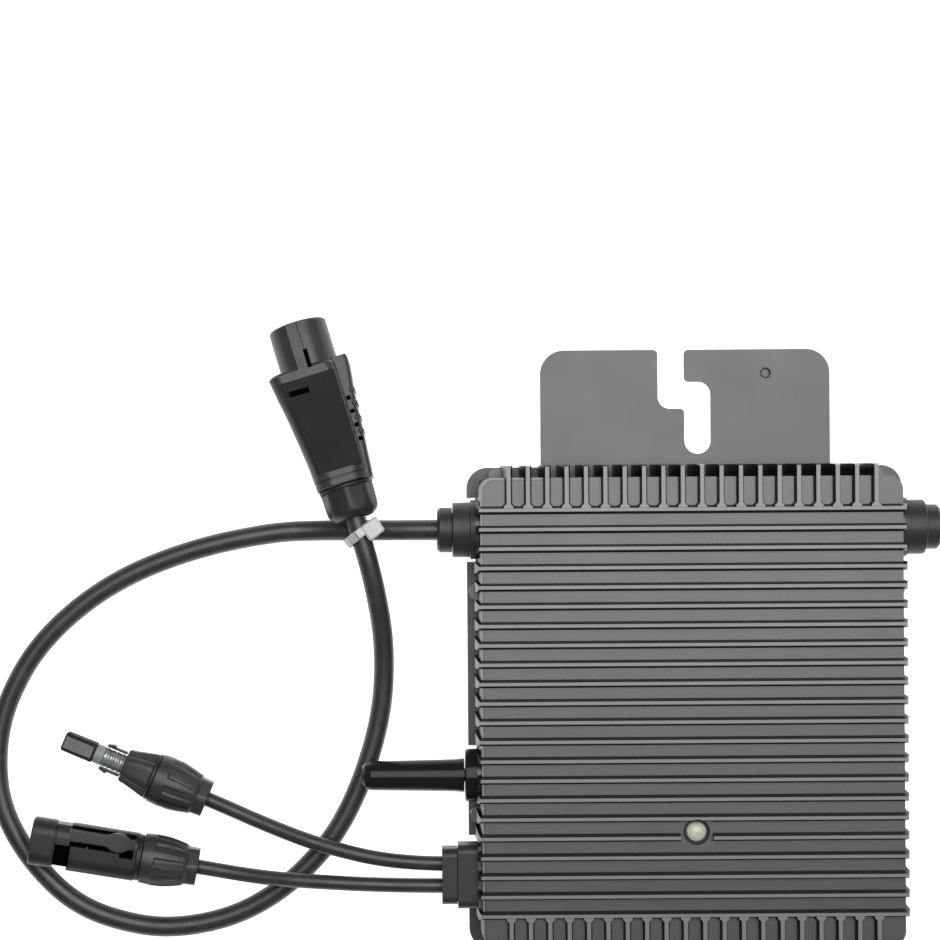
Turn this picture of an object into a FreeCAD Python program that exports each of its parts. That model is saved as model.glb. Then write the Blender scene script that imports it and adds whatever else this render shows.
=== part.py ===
"""Plug-in solar inverter: finned housing on its back, hanging bracket, glands, leads and connectors.

The origin is the centre of the rear cover's back face. +X is the output side, +Y points at the
hanging bracket and +Z out of the finned face. Millimetres.
"""
import FreeCAD, Part
import math
import os
import re

import Sketcher
from FreeCAD import Placement, Rotation, Vector

PARTS_FOLDER = "parts"
TINY = 1e-6

# Driving dimensions, kept in the sheet
SIZES = {
    # rear cover and housing
    "cover_width": 210, "cover_height": 232, "cover_thick": 4, "cover_corner": 10,
    "shell_width": 200.2, "shell_height": 222.2, "shell_corner": 6.5, "face_level": 36,
    "wall": 4, "roof": 3, "draft": 2, "top_level": 40,
    "rib_foot": 3.9, "rib_half_length": 100.9, "rib_pitch": 9.0238, "rib_rows": 22, "rib_draft": 16.5,
    "fin_foot": 3.6, "fin_pitch": 9.03, "fin_columns": 20, "fin_reach": 115.8, "fin_draft": 12,
    "fin_flare": 1.3,
    "boss_radius": 4, "boss_top": 13,
    "screw_side_gap": 0.3, "screw_end_gap": 0.4, "screw_corner_x": 90.6, "screw_upper_y": 56.3,
    "screw_lower_y": -50.5,
    # light window
    "lamp_x": 1.2, "lamp_y": -56.2, "lamp_hole": 6.2, "lamp_lens": 4.8, "lamp_gap": 7.65,
    # bracket
    "plate": 2, "bracket_left": -69, "bracket_right": 71, "bracket_top": 172.5, "bracket_foot": 56,
    "slot_left": -12.2, "slot_step": 0.6, "slot_right": 13.4, "slot_entry_floor": 144,
    "slot_shoulder": 157, "slot_end": 128.5, "slot_radius": 6.4, "earth_x": 40, "earth_y": 161,
    # side entries
    "entry_level": 18, "seat": 101, "ac_row": 86, "antenna_row": -30.7, "antenna_level": 19,
    "pv_row": -78, "pv_level": 19, "pv_half_gap": 5.25, "seat_depth": 8, "hole_start": 90, "hole_depth": 20,
    "ac_seat_radius": 13.9, "ac_face_radius": 14.3, "ac_hole": 9.6,
    "antenna_seat_radius": 12, "antenna_face_radius": 12.8, "antenna_hole": 4,
    "pv_seat_width": 29, "pv_seat_height": 25, "pv_face_width": 30.6, "pv_face_height": 20.6,
    "pv_hole_width": 21, "pv_hole_height": 10, "latch_inner": 5.2, "latch_outer": 6.2, "latch_barb": 7.2,
    "ac_notch": 15.5, "antenna_notch": 12.8, "pv_notch": 16.8,
    # leads
    "ac_lead": 9.7, "pv_lead": 7, "antenna_wire": 1.8,
    # circuit board
    "board_level": 9, "board_thick": 1.6, "board_width": 178, "board_height": 196,
}

AC_START = Vector(-157.8, 91.4, 22.4)
AC_FRONT = Vector(-185.6, 183.8, 14.6)
PLUS_START = Vector(-231.2, -41.6, 11.75)
PLUS_FRONT = Vector(-298.1, -13.1, 14.4)
MINUS_START = Vector(-236.0, -74.2, 12.25)
MINUS_FRONT = Vector(-313.5, -60.1, 18.6)

# Each lead's route, from inside its gland to inside its connector
AC_ROUTE = [
    (-110, 86, 18), (-137, 86, 18), (-174, 86.3, 4.9), (-199, 85.7, 4.9), (-240.4, 77.1, 4.9),
    (-278.9, 60.9, 4.9), (-310.4, 34.8, 4.9), (-327.5, 5.5, 4.9), (-332.9, -20.3, 4.9),
    (-330.4, -46.7, 4.9), (-316.4, -72.2, 4.9), (-294, -94.2, 4.9), (-263.2, -104.2, 4.9),
    (-238.3, -104.2, 4.9), (-212, -97.2, 4.9), (-187.1, -80.8, 4.9), (-163.8, -53.8, 4.9),
    (-147, -8, 4.9), (-144.4, 30, 9), (-149.5, 62, 20.8), (-156.4, 86.6, 22.75),
    (-161.2, 102.9, 21.6),
]
PLUS_ROUTE = [
    (-112, -72.75, 19), (-138, -72.75, 19), (-174, -64.4, 19.4), (-202, -54.4, 13.6),
    (-225.7, -43.95, 11.53), (-244.1, -36.1, 12.26),
]
MINUS_ROUTE = [
    (-112, -83.25, 19), (-140, -83.2, 19), (-184, -80.6, 19.4), (-207.5, -79, 13.9),
    (-230.1, -75.3, 11.75), (-249.7, -71.7, 13.35),
]
ANTENNA_ROUTE = [(-92.9, -30.7, 19), (-86, -30.7, 19), (-77, -28, 17), (-72, -20, 15), (-71, -15, 14.8)]
ARC_SHARE = 0.45

doc = FreeCAD.newDocument("plug_in_inverter")
sheet = doc.addObject("Spreadsheet::Sheet", "Sizes")
subparts = []


def fill_sheet():
    for row, (name, value) in enumerate(SIZES.items(), 1):
        sheet.set(f"A{row}", str(value))
        sheet.setAlias(f"A{row}", name)
    doc.recompute()


def linked(text):
    """A sum of cell names and numbers, as an expression that another object can hold."""
    def with_sheet(word):
        name = word.group()
        return f"Sizes.{name}" if name in SIZES else name
    return re.sub(r"[a-z_]\w*", with_sheet, str(text))


def size(text):
    return float(sheet.evalExpression(linked(text)))


def bind(item, name, text):
    item.setExpression(name, linked(text))


def keep(label, item):
    """Names a sub-part."""
    item.Label = label
    subparts.append(item)
    return item


# Sketches and features

def new_body(name):
    body = doc.addObject("PartDesign::Body", name + "_body")
    body.AllowCompound = True
    return body


def sketch_on(body, plane="XY_Plane", offset=0):
    sketch = body.newObject("Sketcher::SketchObject", body.Name + "_sketch")
    support = next(item for item in body.Origin.OriginFeatures if item.Role == plane)
    sketch.AttachmentSupport = [(support, "")]
    sketch.MapMode = "FlatFace"
    bind(sketch, "AttachmentOffset.Base.z", offset)
    doc.recompute()
    return sketch


def hold(sketch, kind, element, spot, text):
    """Fixes one coordinate of a point of the sketch to the sheet."""
    place = size(text)
    if abs(place) < TINY:
        axis = -2 if kind == "DistanceX" else -1
        sketch.addConstraint(Sketcher.Constraint("PointOnObject", element, spot, axis))
        return
    number = sketch.addConstraint(Sketcher.Constraint(kind, -1, 1, element, spot, place))
    bind(sketch, f"Constraints[{number}]", text)


def outline(sketch, corners):
    """Draws a closed outline of straight edges."""
    points = [Vector(size(x), size(y), 0) for x, y in corners]
    first = sketch.GeometryCount
    for start, end in zip(points, points[1:] + points[:1]):
        sketch.addGeometry(Part.LineSegment(start, end), False)
    for index, (x, y) in enumerate(corners):
        edge = first + index
        following = first + (index + 1) % len(corners)
        sketch.addConstraint(Sketcher.Constraint("Coincident", edge, 2, following, 1))
        hold(sketch, "DistanceX", edge, 1, x)
        hold(sketch, "DistanceY", edge, 1, y)
    return sketch


def rectangle(sketch, width, height, x="0", y="0"):
    left, right = f"{x} - ({width}) / 2", f"{x} + ({width}) / 2"
    low, high = f"{y} - ({height}) / 2", f"{y} + ({height}) / 2"
    return outline(sketch, [(left, low), (right, low), (right, high), (left, high)])


def circle(sketch, radius, x="0", y="0"):
    shape = Part.Circle(Vector(size(x), size(y), 0), Vector(0, 0, 1), size(radius))
    element = sketch.addGeometry(shape, False)
    hold(sketch, "DistanceX", element, 3, x)
    hold(sketch, "DistanceY", element, 3, y)
    number = sketch.addConstraint(Sketcher.Constraint("Radius", element, size(radius)))
    bind(sketch, f"Constraints[{number}]", radius)
    return sketch


def pad(body, sketch, length, taper=None):
    feature = body.newObject("PartDesign::Pad", body.Name + "_pad")
    feature.Profile = sketch
    bind(feature, "Length", length)
    if taper is not None:
        bind(feature, "TaperAngle", taper)
    doc.recompute()
    return feature


def pocket(body, sketch, depth, reverse=True):
    """Cuts along the sketch's normal, and makes sure that it took something away."""
    before = body.Shape.Volume
    feature = body.newObject("PartDesign::Pocket", body.Name + "_pocket")
    feature.Profile = sketch
    feature.Reversed = reverse
    bind(feature, "Length", depth)
    doc.recompute()
    if body.Shape.Volume > before - TINY:
        raise RuntimeError(f"{feature.Name} cuts nothing")
    return feature


def round_edges(body, radius, chosen):
    """Fillets the edges of the body that pass a test."""
    base = body.Tip
    names = [f"Edge{number}" for number, edge in enumerate(base.Shape.Edges, 1) if chosen(edge)]
    feature = body.newObject("PartDesign::Fillet", body.Name + "_round")
    feature.Base = (base, names)
    bind(feature, "Radius", radius)
    doc.recompute()
    return feature


def row_of(body, axis, pitch, count):
    """Repeats the whole body along an axis."""
    feature = body.newObject("PartDesign::LinearPattern", body.Name + "_row")
    feature.TransformMode = "Whole shape"
    direction = next(item for item in body.Origin.OriginFeatures if item.Role == axis)
    feature.Direction = (direction, [""])
    bind(feature, "Length", f"{pitch} * ({count} - 1)")
    bind(feature, "Occurrences", count)
    body.Tip = feature
    doc.recompute()
    return feature


def upright(edge):
    box = edge.BoundBox
    return box.ZLength > 0.5 and max(box.XLength, box.YLength) < 0.1 * box.ZLength


def near(edge, x, y, reach=1.0):
    centre = edge.BoundBox.Center
    return abs(centre.x - x) < reach and abs(centre.y - y) < reach


# Simple pieces

def turned(label, profile, place=None, keep_it=True):
    """A piece turned about its own Z axis from an outline of (radius, height) corners."""
    body = new_body(label)
    sketch = outline(sketch_on(body, "XZ_Plane"), profile)
    feature = body.newObject("PartDesign::Revolution", body.Name + "_turn")
    feature.Profile = sketch
    feature.ReferenceAxis = (sketch, ["V_Axis"])
    feature.Angle = 360
    doc.recompute()
    if place is not None:
        body.Placement = place
    return keep(label, body) if keep_it else body


def tube_profile(inner, outer, low, high):
    return [(inner, low), (outer, low), (outer, high), (inner, high)]


def block(label, corner, lengths):
    """A box given by its lowest corner and its lengths."""
    item = doc.addObject("Part::Box", label)
    for name, text in zip(("Length", "Width", "Height"), lengths):
        bind(item, name, text)
    for name, text in zip("xyz", corner):
        bind(item, f"Placement.Base.{name}", text)
    return item


def rod(label, radius, length, place):
    item = doc.addObject("Part::Cylinder", label)
    bind(item, "Radius", radius)
    bind(item, "Height", length)
    item.Placement = place
    return item


def joined(label, pieces):
    item = doc.addObject("Part::MultiFuse", label + "_joined")
    item.Shapes = pieces
    doc.recompute()
    return item


def minus(label, base, tool):
    item = doc.addObject("Part::Cut", label + "_cut")
    item.Base = base
    item.Tool = tool
    doc.recompute()
    return item


def group(label, pieces):
    """Separate solids that share one sub-part."""
    item = doc.addObject("Part::Compound", label + "_group")
    item.Links = pieces
    doc.recompute()
    return keep(label, item)


def copies(label, original, places):
    links = []
    for place in places:
        link = doc.addObject("App::Link", label + "_copy")
        link.LinkedObject = original
        link.Placement = place
        links.append(link)
    return group(label, links)


def at(x, y, z):
    return Placement(Vector(size(x), size(y), size(z)), Rotation())


def sideways(side, x, y, z):
    """Local Z points along X, outwards on the side given by its sign."""
    turn = Rotation(Vector(0, 1, 0), 90 * side)
    return Placement(Vector(side * size(x), size(y), size(z)), turn)


def aimed(start, front):
    """Local Z runs from one point to the other, local X stays level and local Y points up."""
    forward = (front - start).normalize()
    level = Vector(0, 0, 1).cross(forward).normalize()
    return Placement(start, Rotation(level, forward.cross(level), forward, "ZXY"))


# Housing

def make_shell():
    body = new_body("shell")
    sketch = rectangle(sketch_on(body, offset="cover_thick"), "shell_width", "shell_height")
    pad(body, sketch, "face_level - cover_thick", "0 - draft")
    round_edges(body, "shell_corner", lambda edge: edge.BoundBox.ZLength > 10)
    return body


def drafted_bar(body, corners, lean):
    """A cast bar in two drafts: nearly upright beside the walls, leaning where it stands on the face."""
    lower = outline(sketch_on(body, offset="face_level"), corners)
    down = body.newObject("PartDesign::Pad", body.Name + "_down")
    down.Profile = lower
    down.Reversed = True
    bind(down, "Length", "face_level - cover_thick")
    bind(down, "TaperAngle", "draft")
    doc.recompute()
    upper = outline(sketch_on(body, offset="face_level"), corners)
    pad(body, upper, "top_level - face_level", f"0 - {lean}")


def make_ribs():
    body = new_body("rib")
    left, right = "0 - rib_half_length", "rib_half_length"
    middle = "rib_pitch * (rib_rows - 1) / 2"
    low, high = f"0 - {middle} - rib_foot / 2", f"0 - {middle} + rib_foot / 2"
    drafted_bar(body, [(left, low), (right, low), (right, high), (left, high)], "rib_draft")
    row_of(body, "Y_Axis", "rib_pitch", "rib_rows")
    return body


def make_fins(side):
    """One row of upright fins, flared where they meet the outermost rib, down to the cover's lip."""
    body = new_body("fins")
    middle = "0 - fin_pitch * (fin_columns - 1) / 2"
    root = "rib_pitch * (rib_rows - 1) / 2"
    edge = f"({root} + rib_foot / 2)"
    half, wide = "fin_foot / 2", "(fin_foot / 2 + fin_flare)"
    profile = [(f"- {half}", "fin_reach"), (f"- {half}", f"{edge} + fin_flare"), (f"- {wide}", edge),
               (f"- {wide}", root), (f"+ {wide}", root), (f"+ {wide}", edge),
               (f"+ {half}", f"{edge} + fin_flare"), (f"+ {half}", "fin_reach")]
    corners = [(f"{middle} {x}", f"{side} * ({y})") for x, y in profile[::side]]
    drafted_bar(body, corners, "fin_draft")
    row_of(body, "X_Axis", "fin_pitch", "fin_columns")
    return body


def cover_screw_places():
    """The screws round the rim, as (x, y)."""
    side_x, end_y = size("shell_width / 2 + screw_side_gap"), size("shell_height / 2 + screw_end_gap")
    corner_x = size("screw_corner_x")
    places = [(side * side_x, size(y)) for side in (-1, 1) for y in ("screw_upper_y", "screw_lower_y")]
    places += [(x, side * end_y) for side in (-1, 1) for x in (-corner_x, corner_x)]
    return places + [(0, -end_y)]


def make_housing():
    solids = [make_shell(), make_ribs(), make_fins(1), make_fins(-1)]
    for x, y in cover_screw_places():
        solids.append(rod("boss", "boss_radius", "boss_top - cover_thick", at(x, y, "cover_thick")))
    for side in (-1, 1):
        place = sideways(side, "seat - seat_depth", "ac_row", "entry_level")
        solids.append(rod("ac_seat", "ac_seat_radius", "seat_depth", place))
    place = sideways(-1, "seat - seat_depth", "antenna_row", "antenna_level")
    solids.append(rod("antenna_seat", "antenna_seat_radius", "seat_depth", place))
    solids.append(block("pv_seat", ("0 - seat", "pv_row - pv_seat_width / 2", "cover_thick"),
                        ("seat_depth", "pv_seat_width", "pv_seat_height")))
    cavity = rounded_block("cavity", "shell_width - 2 * wall", "shell_height - 2 * wall", 5,
                           0, "face_level - roof")
    hollow = minus("hollow_housing", joined("casting", solids), cavity)
    post_length = "face_level - 1 - board_level - board_thick"
    posts = [rod("post", 3.5, post_length, at(x, y, "board_level + board_thick"))
             for x, y in board_screw_places()]
    whole = joined("housing", [hollow] + posts)
    keep("heatsink_housing", minus("housing", whole, joined("housing_holes", housing_holes())))


def housing_holes():
    holes = []
    for x, y in cover_screw_places():
        holes.append(rod("tapped", 1.5, "boss_top - cover_thick - 1", at(x, y, "cover_thick")))
    for side in (-1, 1):
        place = sideways(side, "hole_start", "ac_row", "entry_level")
        holes.append(rod("ac_hole", "ac_hole", "hole_depth", place))
        face = sideways(side, "seat", "ac_row", "entry_level")
        holes.append(rod("ac_face", "ac_face_radius", "seat_depth", face))
    place = sideways(-1, "hole_start", "antenna_row", "antenna_level")
    holes.append(rod("antenna_hole", "antenna_hole", "hole_depth", place))
    face = sideways(-1, "seat", "antenna_row", "antenna_level")
    holes.append(rod("antenna_face", "antenna_face_radius", "seat_depth", face))
    holes.append(block("pv_hole", ("0 - hole_start - hole_depth", "pv_row - pv_hole_width / 2",
                                   "pv_level - pv_hole_height / 2"),
                       ("hole_depth", "pv_hole_width", "pv_hole_height")))
    holes.append(block("pv_face", ("0 - seat - seat_depth", "pv_row - pv_face_width / 2",
                                   "pv_level - pv_face_height / 2"),
                       ("seat_depth", "pv_face_width", "pv_face_height")))
    holes.append(rod("lamp_well", "lamp_hole", 8, at("lamp_x", "lamp_y", "face_level - 3.5")))
    holes.append(rod("lamp_bore", 2.6, 10, at("lamp_x", "lamp_y", "face_level - 8")))
    gap = block("lamp_gap_block", ("lamp_x - lamp_gap", "lamp_y - 5.2", "face_level"),
                ("2 * lamp_gap", "10.4", 8))
    holes.append(gap)
    for x, y in board_screw_places():
        holes.append(rod("post_hole", 1.25, 8, at(x, y, "board_level + board_thick")))
    return holes


# Rear cover and bracket

def bracket_screw_places():
    return [(x, y) for x in (-52, 54) for y in (70, 98)]


def make_cover():
    body = new_body("cover")
    pad(body, rectangle(sketch_on(body), "cover_width", "cover_height"), "cover_thick")
    round_edges(body, "cover_corner", upright)
    notches = sketch_on(body)
    lip = "(cover_width / 2 - seat + 0.2)"
    for side, row, half in ((-1, "ac_row", "ac_notch"), (1, "ac_row", "ac_notch"),
                            (-1, "antenna_row", "antenna_notch"), (-1, "pv_row", "pv_notch")):
        edge = f"{side} * (cover_width / 2 + 1 - ({lip} + 1) / 2)"
        rectangle(notches, f"{lip} + 1", f"2 * {half}", edge, row)
    pocket(body, notches, "cover_thick")
    middle = "(bracket_left + bracket_right) / 2"
    gap = sketch_on(body)
    rectangle(gap, "bracket_right - bracket_left + 0.8", "6", middle, "cover_height / 2 - 4.8 + 3")
    pocket(body, gap, "cover_thick")
    recess = sketch_on(body)
    low, high = "(bracket_foot - 0.4)", "(cover_height / 2 + 1)"
    rectangle(recess, "bracket_right - bracket_left + 0.8", f"{high} - {low}", middle,
              f"({high} + {low}) / 2")
    pocket(body, recess, "plate")
    seal_groove = sketch_on(body, offset="cover_thick")
    rectangle(seal_groove, "shell_width - wall + 1.6", "shell_height - wall + 1.6")
    rectangle(seal_groove, "shell_width - wall - 2.4", "shell_height - wall - 2.4")
    pocket(body, seal_groove, 1, reverse=False)
    bosses = [rod("cover_boss", 4.5, 3.5, at(x, y, "cover_thick")) for x, y in bracket_screw_places()]
    holes = [rod("cover_tap", 1.6, 8, at(x, y, 1)) for x, y in bracket_screw_places()]
    for x, y in cover_screw_places():
        holes.append(rod("cover_bore", 1.7, 8, at(x, y, -1)))
        holes.append(rod("cover_counterbore", 3.1, 3, at(x, y, -1)))
    whole = joined("cover", [body] + bosses)
    keep("rear_cover", minus("cover", whole, joined("cover_holes", holes)))


def make_seal():
    body = new_body("rim_seal")
    ring = sketch_on(body, offset="cover_thick - 1")
    rectangle(ring, "shell_width - wall + 1.2", "shell_height - wall + 1.2")
    rectangle(ring, "shell_width - wall - 2", "shell_height - wall - 2")
    pad(body, ring, 1)
    keep("cover_seal", body)


def make_bracket():
    body = new_body("bracket")
    corners = [("bracket_left", "bracket_foot"), ("bracket_right", "bracket_foot"),
               ("bracket_right", "bracket_top"), ("slot_step", "bracket_top"),
               ("slot_step", "slot_shoulder"), ("slot_right", "slot_shoulder"),
               ("slot_right", "slot_end"), ("slot_step", "slot_end"),
               ("slot_step", "slot_entry_floor"), ("slot_left", "slot_entry_floor"),
               ("slot_left", "bracket_top"), ("bracket_left", "bracket_top")]
    pad(body, outline(sketch_on(body), corners), "plate")
    slot_round = circle(sketch_on(body), "slot_radius", "(slot_step + slot_right) / 2", "slot_end")
    pocket(body, slot_round, "plate")
    rounds = [("bracket_left", "bracket_top", 11.5), ("bracket_right", "bracket_top", 11.5),
              ("bracket_left", "bracket_foot", 6), ("bracket_right", "bracket_foot", 6),
              ("slot_left", "slot_entry_floor", 5.8), ("slot_right", "slot_shoulder", 6),
              ("slot_left", "bracket_top", 2.4), ("slot_step", "bracket_top", 2.4),
              ("slot_step", "slot_shoulder", 2.2), ("slot_step", "slot_entry_floor", 2.2)]
    for x, y, radius in rounds:
        place = (size(x), size(y))
        round_edges(body, radius, lambda edge: upright(edge) and near(edge, *place))
    earth = circle(sketch_on(body), 3.25, "earth_x", "earth_y")
    for x, y in bracket_screw_places():
        circle(earth, 2.1, x, y)
    pocket(body, earth, "plate")
    countersinks = []
    for x, y in bracket_screw_places():
        sink = doc.addObject("Part::Cone", "countersink")
        sink.Radius1, sink.Radius2, sink.Height = 3.9, 2.1, 1.8
        sink.Placement = at(x, y, 0)
        countersinks.append(sink)
    keep("hanging_bracket", minus("bracket", body, joined("countersinks", countersinks)))


def make_fasteners():
    flat_head = [(0, 0), (3.7, 0), (3.7, 0.15), (1.6, 2), (1.6, 7), (0, 7)]
    screw = turned("flat_screw", flat_head, keep_it=False)
    copies("bracket_screws", screw, [at(x, y, 0) for x, y in bracket_screw_places()])
    pan_head = [(0, 0), (2.9, 0), (2.9, 1.9), (1.5, 1.9), (1.5, 10), (0, 10)]
    screw = turned("pan_screw", pan_head, keep_it=False)
    copies("cover_screws", screw, [at(x, y, 0.1) for x, y in cover_screw_places()])
    small = [(0, -1.8), (2.4, -1.8), (2.4, 0), (1.25, 0), (1.25, 6), (0, 6)]
    screw = turned("board_screw", small, keep_it=False)
    copies("board_screws", screw, [at(x, y, "board_level") for x, y in board_screw_places()])
    insert = [(0, 0.2), (3.25, 0.2), (3.25, 2.1), (2.6, 2.1), (2, 1.7), (2, 0.5), (0, 0.5)]
    turned("earth_clinch_nut", insert, at("earth_x", "earth_y", 0))


# Side entries

def make_ac_gland(name, side):
    place = sideways(side, 0, "ac_row", "entry_level")
    body = [(3.8, 92), (9.5, 92), (9.5, "seat"), (14, "seat"), (14, 103.4), (13, 103.8), (13, 111.6),
            (12.6, 112), (8.2, 112), (8.2, 116.6), (7.3, 116.6), (7.3, 110), (3.8, 110)]
    turned(name + "_body", body, place)
    turned(name + "_seal", tube_profile(4.9, 7.2, 110.2, 116.4), place)
    nut = [(8.3, 112.2), (10.65, 112.2), (10.65, 118), (9.4, 119.3), (5.3, 119.3), (5.3, 117), (8.3, 117)]
    turned(name + "_nut", nut, place)


def rounded_block(label, length, width, corner, low, high):
    body = new_body(label)
    pad(body, rectangle(sketch_on(body, offset=low), length, width), f"{high} - ({low})")
    round_edges(body, corner, upright)
    return body


def twin_bores(label, radius, low, high):
    """Two bores side by side, for a pair of leads."""
    length = f"{high} - ({low})"
    return [rod(label, radius, length, at(0, f"{side} * pv_half_gap", low)) for side in (-1, 1)]


def twin_piece(label, outers, bores, place):
    """A block across local Y with two bores in it."""
    base = joined(label, outers) if len(outers) > 1 else outers[0]
    item = minus(label, base, joined(label + "_bores", bores))
    item.Placement = place
    return keep(label, item)


def make_pv_gland():
    place = sideways(-1, 0, "pv_row", "pv_level")
    shell = [rounded_block("pv_flange", 20, 30, 4, "seat", 110.5),
             rounded_block("pv_neck", 14, 24, 3, 110.5, 115.5),
             rounded_block("pv_spigot", 9.8, 20.8, 2, 92, "seat")]
    twin_piece("pv_gland_body", shell, twin_bores("pv_bore", 3.75, 110, 116) +
               twin_bores("pv_wire_bore", 2.4, 91, 112), place)
    cap = [rounded_block("pv_cap_shell", 17.4, 26.4, 4, 110.7, 118)]
    hollow = [rounded_block("pv_cap_hollow", 14.3, 24.3, 3, 109, 116.8)]
    twin_piece("pv_gland_cap", cap, hollow + twin_bores("pv_cap_bore", 3.85, 115, 119), place)
    washer = [rounded_block("pv_washer", 13, 23.4, 3, 115.6, 116.6)]
    twin_piece("pv_gland_seal", washer, twin_bores("pv_washer_bore", 3.6, 115, 117), place)


def make_antenna():
    place = sideways(-1, 0, "antenna_row", "antenna_level")
    socket = [(1.2, 93), (3.9, 93), (3.9, "seat"), (12.4, "seat"), (12.4, 106.2), (11.8, 106.8),
              (3.2, 106.8), (3.2, 117), (1.2, 117)]
    turned("antenna_socket", socket, place)
    turned("antenna_socket_nut", tube_profile(3.95, 6.5, 93.2, 96), place)
    sleeve = [(3.5, 107.2), (8, 107.2), (8, 108), (7.6, 112), (6.9, 151.5), (6.2, 154.2), (4.4, 155.7),
              (0, 156), (0, 150), (2.4, 150), (2.4, 119), (3.5, 118)]
    turned("antenna_sleeve", sleeve, place)
    turned("antenna_element", [(0, 119.5), (2, 119.5), (2, 149), (0, 149)], place)
    make_lead("antenna_lead", ANTENNA_ROUTE, "antenna_wire")


# Leads

def route_path(points, label):
    """Straight runs joined by tangent arcs, each as large as its two runs allow."""
    points = [Vector(*point) for point in points]
    edges, radii = [], []
    here = points[0]
    for before, corner, after in zip(points, points[1:], points[2:]):
        incoming, outgoing = corner - before, after - corner
        half_turn = incoming.getAngle(outgoing) / 2
        setback = ARC_SHARE * min(incoming.Length, outgoing.Length)
        radius = setback / math.tan(half_turn)
        incoming.normalize()
        outgoing.normalize()
        start, end = corner - incoming * setback, corner + outgoing * setback
        inward = (outgoing - incoming).normalize()
        middle = corner + inward * radius * (1 / math.cos(half_turn) - 1)
        edges += [Part.LineSegment(here, start).toShape(), Part.Arc(start, middle, end).toShape()]
        radii.append(radius)
        here = end
    edges.append(Part.LineSegment(here, points[-1]).toShape())
    print(label, "radii", [round(radius, 1) for radius in radii])
    return Part.Wire(edges)


def swept(path, radius):
    start = path.Edges[0].valueAt(path.Edges[0].FirstParameter)
    direction = path.Edges[0].tangentAt(path.Edges[0].FirstParameter)
    ring = Part.Wire([Part.Circle(start, direction, radius).toShape()])
    return path.makePipeShell([ring], True, False)


def make_lead(label, route, diameter):
    path = route_path(route, label)
    radius = size(diameter) / 2
    lead = doc.addObject("Part::Feature", label)
    lead.Shape = swept(path, radius)
    expected = math.pi * radius ** 2 * path.Length
    print(label, "length", round(path.Length, 1), "volume ratio", round(lead.Shape.Volume / expected, 4))
    keep(label, lead)


def make_wires():
    """The cores inside the housing, from the glands to the terminal blocks."""
    wires = []
    for side in (-1, 1):
        for dy, dz in ((-2, -1.2), (2, -1.2), (0, 2.2)):
            y, z = f"ac_row + {dy}", f"entry_level + {dz}"
            wires.append(rod("ac_core", 1.4, 32.8, sideways(side, 77, y, z)))
    for offset in (-1, 1):
        y = f"pv_row + {offset} * pv_half_gap"
        wires.append(rod("pv_core", 2, 32.3, sideways(-1, 79.5, y, "pv_level")))
    group("inner_wires", wires)


# Connectors

def make_lead_connector(name, start, front):
    """Nut, seal and contact that both direct-current connectors share."""
    place = aimed(start, front)
    nut = [(3.95, -1), (9.2, -1), (9.6, 5), (10.8, 9), (12.1, 16), (12.2, 19), (11.4, 25.7),
           (8.6, 25.7), (8.6, 10), (3.95, 10)]
    turned(name + "_nut", nut, place)
    turned(name + "_seal", tube_profile(3.6, 6.6, 14.2, 16.8), place)
    return place


def make_plus_connector():
    place = make_lead_connector("pv_plus", PLUS_START, PLUS_FRONT)
    housing = [(3.2, 17), (8.2, 17), (8.2, 26), (10.9, 26), (10.9, 27), (9.95, 27.6), (9.7, 31),
               (6.5, 42.1), (4.5, 42.1), (4.5, 57.2), (4.7, 57.2), (4.7, 72.2), (4.2, 72.7), (3.2, 72.7)]
    turned("pv_plus_housing", housing, place)
    turned("pv_plus_contact", tube_profile(1.6, 3, 18, 70), place)
    for name, side in (("pv_plus_latch_upper", -1), ("pv_plus_latch_lower", 1)):
        arm = new_body(name)
        near_x, far_x, barb_x = (f"{side} * latch_{edge}" for edge in ("inner", "outer", "barb"))
        corners = [(near_x, 42.4), (far_x, 42.4), (far_x, 48), (barb_x, 49), (far_x, 52.5), (near_x, 52.5)]
        sketch = outline(sketch_on(arm, "XZ_Plane", offset=-2.2), corners)
        pad(arm, sketch, 4.4)
        arm.Placement = place
        keep(name, arm)


def make_minus_connector():
    place = make_lead_connector("pv_minus", MINUS_START, MINUS_FRONT)
    stub = turned("minus_stub", tube_profile(3.2, 8.2, 17, 27), keep_it=False)
    collar = turned("minus_collar", tube_profile(3.2, 11, 26, 28.4), keep_it=False)
    sleeve = rounded_block("minus_sleeve", 22.8, 16.8, 8.2, 28, 79)
    base = joined("minus_base", [stub, collar, sleeve])
    mouth = rounded_block("minus_mouth", 18, 12.2, 6, 53, 80)
    bore = rod("minus_bore", 3.2, 40, at(0, 0, 16))
    arm_slots = [block("arm_slot", (side * 3.4 - 0.7, y, 42), (1.4, 5, 24))
                 for side in (-1, 1) for y in (6, -11)]
    item = minus("pv_minus_housing", base, joined("minus_hollow", [mouth, bore] + arm_slots))
    item.Placement = place
    keep("pv_minus_housing", item)
    turned("pv_minus_contact", [(0, 18), (3, 18), (3, 44), (2, 44), (2, 52), (1.4, 52.6), (0, 52.6)], place)


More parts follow.
